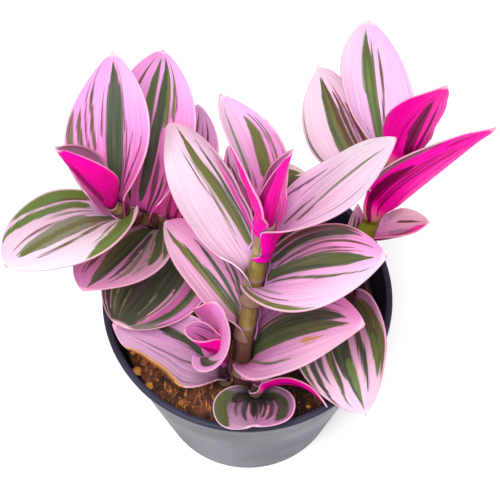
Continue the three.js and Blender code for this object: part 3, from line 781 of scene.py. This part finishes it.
leaf("left_4", "leaf_mid", ("rose", "hot", "pink", "lilac"), (
    ("umber", 3.5, (60, 60), (78, 54), (92, 50)),
    ("moss", 11.8, (30, 12), (60, 14), (80, 12), (94, 6)),
    ("deep", 11.8, (10, 0), (30, -6), (50, -12), (70, -20), (94, -30)),
    ("olive", 5.9, (50, -28), (80, -36), (93, -34)),
    ("olive", 4.5, (55, -42), (80, -54), (92, -58)), ("plum", 1.8, (40, -36), (75, -62)),
    ("plum", 7.1, (5, -40), (20, -30), (36, -26)), ("deep", 7.1, (5, -60), (15, -56), (26, -44)),
    ("plum", 5.9, (6, -90), (16, -80), (24, -60)), ("umber", 7.1, (10, 40), (50, 45)),
    ("umber", 5.9, (10, 80), (50, 86)),
), stand=(76, 51, 9), bend=(67, 11, 10), size=(65, 33), cup=46, sheath=5, wave=0.4, foot="umber")
leaf("left_5", "leaf_pale", ("cream", "lilac", "white", "pale"), (
    ("leaf", 20.1, (12, 60), (30, 74), (46, 88), (68, 104)),
    ("olive", 3, (15, 36), (40, 54), (56, 70)),
    ("umber", 2.2, (12, 16), (40, 26), (65, 40), (84, 42)),
    ("olive", 3, (20, 20), (50, 34), (82, 36)),
    ("olive", 17.7, (10, -2), (30, -2), (50, 4), (92, 6)),
    ("grey", 5.9, (34, 8), (60, 14), (84, 16)), ("umber", 2, (10, -14), (30, -18), (55, -12)),
    ("grey", 8.3, (30, -22), (60, -14), (92, -8)), ("umber", 2, (20, -30), (50, -26), (90, -34)),
    ("grey", 2, (20, -40), (60, -42)),
    ("leaf", 9.4, (20, -60), (45, -58), (70, -70), (90, -96)), ("olive", 2, (20, -50), (60, -54)),
    ("leaf", 14.2, (16, -86), (40, -86), (60, -94), (75, -100)),
    ("umber", 2, (20, -74), (50, -72)),
), stand=(-138, 56, 30), bend=(41, 11, -37), size=(59, 36), cup=-19, sheath=4, wave=0.4, tip=0.66,
    foot="umber")
leaf("left_6", "leaf_mid", ("rose", "hot", "pink", "lilac"), (
    ("plum", 5.9, (6, -14), (30, -24)),
    ("deep", 21.2, (8, -12), (40, -10), (60, -10), (94, -12)), ("plum", 2, (50, -32), (93, -40)),
    ("rose", 2, (78, -28), (93, -30)), ("umber", 2.5, (45, 20), (78, 24)),
    ("umber", 4.5, (36, 34), (60, 46), (88, 76)), ("plum", 2.5, (30, 44), (60, 62), (86, 84)),
    ("umber", 5.9, (30, 56), (50, 70), (64, 78)), ("umber", 7.1, (30, 84), (64, 94)),
    ("umber", 3, (74, 60), (96, 84)), ("plum", 3, (14, -38), (35, -44), (50, -54)),
    ("plum", 3, (14, -50), (30, -64), (48, -80)), ("rose", 4, (10, -70), (40, -90)),
    ("plum", 2, (15, -30), (56, -40)),
), stand=(88, 63, -21), bend=(52, 1, 6), size=(52, 32), cup=9, sheath=3, foot="umber")
leaf("left_7", "leaf_bud", ("pink", "pink", "blush", "blush"), (
    ("umber", 7.1, (20, 30), (90, 30)), ("umber", 7.1, (20, -30), (90, -30)),
    ("deep", 5.9, (10, 0), (90, 0)),
), stand=(-165, 69, 20), bend=(-10, 1, -1), size=(42, 27), cup=250, inner=True, wave=0.1,
    foot="wine")

# ---------------------------------------------------------------- right shoot's leaves
# The right shoot's seven leaves: a broad dark one that arches over the rim, two small furled ones,
# two nearly white ones, and two that stand up and show their magenta undersides.
leaf("right_1", "leaf_dark", ("mauve", "mauve", "pale", "pale"), (
    ("olive", 8.3, (10, 60), (45, 84), (70, 94), (85, 100)),
    ("moss", 10.6, (10, 50), (45, 64), (60, 72), (80, 82)),
    ("leaf", 5.9, (50, 66), (65, 74), (78, 80)),
    ("deep", 6.5, (10, 30), (45, 34), (65, 42), (86, 50)), ("umber", 2, (20, 24), (80, 36)),
    ("deep", 14.2, (5, 2), (45, 0), (70, 4), (97, 10)), ("leaf", 8.3, (60, 6), (80, 10), (96, 12)),
    ("deep", 7.1, (10, -14), (45, -16), (74, -12)),
    ("deep", 7.1, (10, -26), (50, -28), (75, -32), (92, -60)),
    ("olive", 3, (50, -28), (78, -38), (92, -58)), ("smoke", 5.9, (10, -42), (50, -50), (74, -58)),
    ("deep", 6.5, (10, -56), (55, -66), (75, -78), (88, -100)), ("smoke", 3, (10, -72), (60, -80)),
    ("moss", 9.4, (10, -84), (60, -92), (76, -100)), ("amber", 2, (40, -97), (60, -99)),
), stand=(-105, 48, 19), bend=(81, 44, -4), size=(50, 37), cup=56, wave=0.6)
leaf("right_2", "leaf_bud", ("rose", "magenta", "blush", "rose"), (
    ("moss", 14.2, (10, 30), (90, 30)), ("wine", 23.6, (5, -20), (80, -20)),
    ("grey", 11.8, (10, 80), (90, 80)),
), stand=(82, 61, 1), bend=(11, 7, 3), size=(22, 8), cup=120, sheath=3, wave=0.1)
leaf("right_3", "leaf_bud", ("lilac", "hot", "cream", "pink"), (
    ("magenta", 59, (2, -70), (50, -65), (98, -50)),
    ("wine", 14.2, (10, -35), (50, -35), (80, -25)), ("dusk", 11.8, (30, 5), (70, -10)),
    ("wine", 8.3, (20, -75), (70, -70)), ("umber", 5.9, (40, 50), (90, 30)),
), stand=(-16, 38, -25), bend=(-13, 6, 12), size=(26, 19), cup=200, sheath=2, wave=0.1,
    foot="wine")
leaf("right_4", "leaf_underside", ("pale", "pale", "pale", "pale"), (
    ("herb", 11.8, (0, 80), (30, 90)),
    ("wine", 3, (10, -36), (30, -34), (60, -30), (90, -16)),
    ("wine", 2.5, (15, -46), (60, -42), (85, -36)), ("wine", 11.8, (5, -75), (30, -70), (55, -62)),
    ("wine", 2.5, (20, -56), (70, -50), (90, -40)),
    ("pale", 11.8, (28, -100), (50, -98), (78, -97)),
    ("grey", 2.5, (34, -95), (60, -93), (74, -95)), ("plum", 4, (74, -70), (96, -60)),
    ("lilac", 5.9, (78, -80), (94, -85)), ("olive", 5.9, (12, 98), (70, 99)),
), stand=(13, 68, -91), bend=(35, 5, 9), size=(59, 27), seat=-40, cup=71, sheath=6, wave=0.4,
    beneath_too=True, foot="herb")
leaf("right_5", "leaf_pale", ("pale", "blush", "white", "pale"), (
    ("grey", 3, (25, 90), (60, 95), (80, 98)), ("moss", 5.9, (15, 92), (55, 96)),
    ("moss", 14.2, (10, 22), (40, 20), (60, 13), (92, 6)),
    ("umber", 11.8, (12, 6), (40, 4), (60, -2), (90, -4)),
    ("olive", 5.9, (20, 16), (60, 8), (86, 4)), ("umber", 5.9, (15, -12), (40, -16), (75, -26)),
    ("rose", 4, (20, -26), (50, -32), (86, -40)), ("plum", 2.5, (30, -22), (60, -34), (80, -46)),
    ("umber", 8.3, (20, -42), (40, -44), (62, -46)), ("plum", 2.5, (30, -56), (60, -60)),
), stand=(123, 15, -36), bend=(24, -24, 0), size=(56, 29), cup=92, sheath=4, foot="herb")
leaf("right_6", "leaf_pale", ("lilac", "lilac", "pale", "lilac"), (
    ("grey", 11.8, (50, 20), (75, 22), (95, 20)),
    ("moss", 15.3, (8, 0), (25, 4), (50, 8), (70, 12), (90, 16)),
    ("leaf", 3.5, (20, 10), (50, 10), (72, 14)), ("olive", 3, (40, -4), (87, -8)),
    ("umber", 3.5, (20, -12), (50, -24), (80, -30)), ("grey", 1.5, (30, -90), (60, -90)),
    ("moss", 3, (25, -97), (50, -98)), ("plum", 2, (20, 30), (35, 60)),
), stand=(105, 46, 34), bend=(47, -17, -26), size=(56, 29), cup=14, sheath=3, tip=0.66,
    foot="herb")
leaf("right_7", "leaf_underside", ("pale", "pale", "pale", "pale"), (
    ("wine", 5.9, (20, 36), (50, 44), (76, 46)),
    ("wine", 15.3, (16, 10), (40, 4), (60, 4), (84, -2)),
    ("wine", 4, (30, 20), (60, 16), (80, 10)), ("wine", 3, (40, -12), (80, -12), (90, -30)),
    ("wine", 2.5, (20, -30), (70, -28)), ("wine", 3, (30, 60), (50, 62)),
    ("olive", 4, (20, -98), (60, -98)),
), stand=(-29, 90, -73), bend=(19, 11, 11), size=(52, 21), seat=-50, cup=83, sheath=2,
    beneath_too=True, foot="herb")

# ---------------------------------------------------------------- side shoot's leaves
# The short side shoot's three leaves: one pale blade lying over the soil with a scorched margin,
# and two young ones still wrapped round each other.
leaf("side_1", "leaf_pale", ("dusk", "mauve", "dusk", "lilac"), (
    ("deep", 3, (6, -30), (15, 0), (30, 12), (60, 20), (86, 20)), ("smoke", 2, (30, 80), (42, 76)),
    ("grey", 2, (35, 74), (55, 78)), ("deep", 10, (20, -30), (40, -40), (72, -50)),
    ("plum", 2, (20, -20), (60, -34)), ("plum", 3, (5, -10), (20, 10)),
    ("amber", 15.3, (36, 102), (60, 94), (88, 102)), ("scorch", 4, (42, 99), (60, 96), (84, 99)),
    ("mauve", 2, (40, 40), (70, 42)),
), stand=(168, 35, 3), bend=(2, -1, -4), size=(45, 29), cup=-3, sheath=3, wave=0.5,
    bite=(0.62, 0.22, 0.42), scorched=True)
leaf("side_2", "leaf_mid", ("rose", "lilac", "hot", "lilac"), (
    ("moss", 11.8, (0, -62), (20, -68), (50, -78)), ("deep", 5.9, (0, -70), (30, -76), (44, -80)),
    ("herb", 2, (4, -52), (30, -60)), ("white", 2, (4, -46), (25, -54), (50, -66)),
    ("plum", 3, (10, 20), (50, 10)),
), stand=(98, 93, -117), bend=(17, 30, 60), size=(33, 33), seat=78, cup=94, sheath=4, wave=0.2,
    wrap=320, bite=(0.4, 0.45, 0.26), foot="rose")
leaf("side_3", "leaf_bud", ("magenta", "rose", "pink", "pink"), (
    ("umber", 3, (30, 20), (90, 10)), ("plum", 2.5, (30, -15), (80, -20)),
    ("olive", 7.1, (10, 66), (70, 50)), ("umber", 2.5, (30, -50), (80, -50)),
), stand=(-177, 56, -6), bend=(-12, 4, 4), size=(22, 21.5), cup=346, inner=True, wave=0.1,
    tube=3.6, foot="wine")

# ---------------------------------------------------------------- front shoot's leaves
# The low front shoot's three leaves: a short blade arched down to the soil, striped green and
# mauve with near-black painted shade at its foot and in bands up it, one standing on edge that
# shows its underside, and a small bud.
# Its near-black tone, on the foot above and beneath and in bands up the blade, is painted shade.
leaf("front_1", "leaf_dark", ("smoke", "painted_shade_black", "mauve", "dusk"), (
    ("deep", 14.2, (10, 60), (50, 72), (82, 80)), ("moss", 20.1, (20, -80), (40, -84), (80, -90)),
    ("moss", 11.8, (15, -60), (30, -66)), ("smoke", 5.9, (10, 36), (50, 44), (85, 52)),
    ("painted_shade_black", 11.8, (0, 18), (30, 20), (80, 30)), ("painted_shade_black", 9.4, (0, 0), (40, 0), (80, 4)),
    ("smoke", 3, (30, 10), (90, 14)), ("smoke", 7.1, (10, -20), (50, -24), (85, -26)),
    ("painted_shade_black", 26, (0, -40), (34, -50)), ("painted_shade_black", 26, (0, 40), (30, 50)),
    ("plum", 3, (20, -42), (70, -46)), ("amber", 4, (86, -30), (97, -20)),
    ("painted_shade_black", 40.1, (0, 0), (32, 0)), ("blush", 3, (40, 34), (85, 38)),
    ("blush", 3, (40, -12), (90, -14)), ("dusk", 3, (36, -34), (90, -38)),
    ("dusk", 2.5, (36, 22), (90, 24)),
), stand=(-96, 59, 3), bend=(14, 4, 6), size=(31, 28), cup=-71, sheath=2, tip=0.6, foot="painted_shade_black",
    under="plum")
leaf("front_2", "leaf_underside", ("pale", "pale", "white", "white"), (
    ("wine", 7.1, (0, 0), (50, 0)), ("wine", 5.9, (10, -40), (70, -40)),
    ("wine", 4, (10, 40), (60, 40)),
), stand=(26, 34, -65), bend=(44, -85, -9), size=(28, 10), seat=-40, cup=60, sheath=3, wave=0.2)
leaf("front_3", "leaf_bud", ("plum", "plum", "plum", "rose"), (
    ("wine", 35.4, (0, 0), (80, 0)),
), stand=(-163, 61, 0), bend=(-3, 15, 0), size=(11, 4.5), cup=200, inner=True, wave=0, foot="plum",
    under="plum")

# ---------------------------------------------------------------- back shoot's leaves
# The back shoot's three leaves, seen in glimpses behind the centre shoot: small upright blades of
# the same kind, with clasping bases.
leaf("back_1", "leaf_mid", ("hot", "magenta", "pink", "pale"), (
    ("umber", 5.9, (10, 10), (40, 20), (70, 20), (86, 60)),
    ("plum", 3, (50, 0), (70, 0), (80, 20)), ("deep", 11.8, (30, 60), (95, 50)),
    ("olive", 9.4, (20, -50), (90, -40)),
), stand=(116, 55, 9), bend=(16, 0, 3), size=(30, 18), cup=43, sheath=2)
leaf("back_2", "leaf_dark", ("hot", "rose", "cream", "white"), (
    ("olive", 23.6, (30, 50), (85, 40)), ("moss", 14.2, (30, 10), (84, 10)),
    ("umber", 9.4, (30, -10), (90, 0)), ("deep", 14.2, (20, -60), (85, -50)),
    ("deep", 11.8, (20, 85), (70, 80)),
), stand=(39, 29, 8), bend=(69, -1, 1), size=(24, 19), cup=53, sheath=2)
leaf("back_3", "leaf_pale", ("hot", "hot", "lilac", "lilac"), (
    ("olive", 11.8, (10, 30), (92, 25)), ("deep", 11.8, (10, -10), (90, -10)),
    ("umber", 5.9, (10, -50), (80, -50)), ("umber", 5.9, (10, 65), (80, 60)),
), stand=(88, 71, -12), bend=(3, -4, -7), size=(33, 20), cup=59, sheath=2)

# ---------------------------------------------------------------- floor, light and camera
# A pale seamless floor under soft white light from above and a little from both sides, seen from
# high in front. Each lamp has its name, place in metres, size in metres and power in watts.
LAMPS = (
    ("key", (-0.2, -0.3, 1.1), 0.8, 16.0),
    ("fill", (0.7, -0.3, 0.8), 0.7, 3.0),
    ("left", (-0.7, -0.15, 0.12), 0.4, 0.8),
    ("right", (0.7, -0.15, 0.12), 0.4, 1.7),
)
AIM = Vector((0, 0, 0.09))
FLOOR_GLOW = 0.12
SKY = 0.4
FOCAL_LENGTH = 84.51
CAMERA_PLACE = (0, -0.18425, 0.46543)
CAMERA_TURN = (28.10, 0.08, -0.45)

floor_graph = Graph("floor", 0.9, 0.0)
floor_skin = floor_graph.finish(linear(250, 250, 250))
floor_graph.put(floor_graph.shader.inputs["Emission Color"], linear(255, 255, 255))
floor_graph.put(floor_graph.shader.inputs["Emission Strength"], FLOOR_GLOW)
bm = bmesh.new()
bmesh.ops.create_grid(bm, x_segments=1, y_segments=1, size=3.0)
floor = piece_from(bm, "floor", floor_skin)

world = bpy.data.worlds.new("studio")
bpy.context.scene.world = world
world.use_nodes = True
world.node_tree.nodes["Background"].inputs[0].default_value = (1, 1, 1, 1)
world.node_tree.nodes["Background"].inputs[1].default_value = SKY

for label, place, size, power in LAMPS:
    lamp = bpy.data.lights.new(label, "AREA")
    lamp.shape = "DISK"
    lamp.size = size
    lamp.energy = power
    holder = bpy.data.objects.new(label, lamp)
    holder.location = place
    aim = AIM - Vector(place)
    holder.rotation_euler = aim.to_track_quat("-Z", "Y").to_euler()
    bpy.context.scene.collection.objects.link(holder)

lens = bpy.data.cameras.new("camera")
lens.sensor_width = 36
lens.lens = FOCAL_LENGTH
lens.clip_start = 0.01
camera = bpy.data.objects.new("camera", lens)
camera.location = CAMERA_PLACE
camera.rotation_euler = [math.radians(a) for a in CAMERA_TURN]
bpy.context.scene.collection.objects.link(camera)
bpy.context.scene.camera = camera
bpy.context.scene.view_settings.view_transform = "Standard"
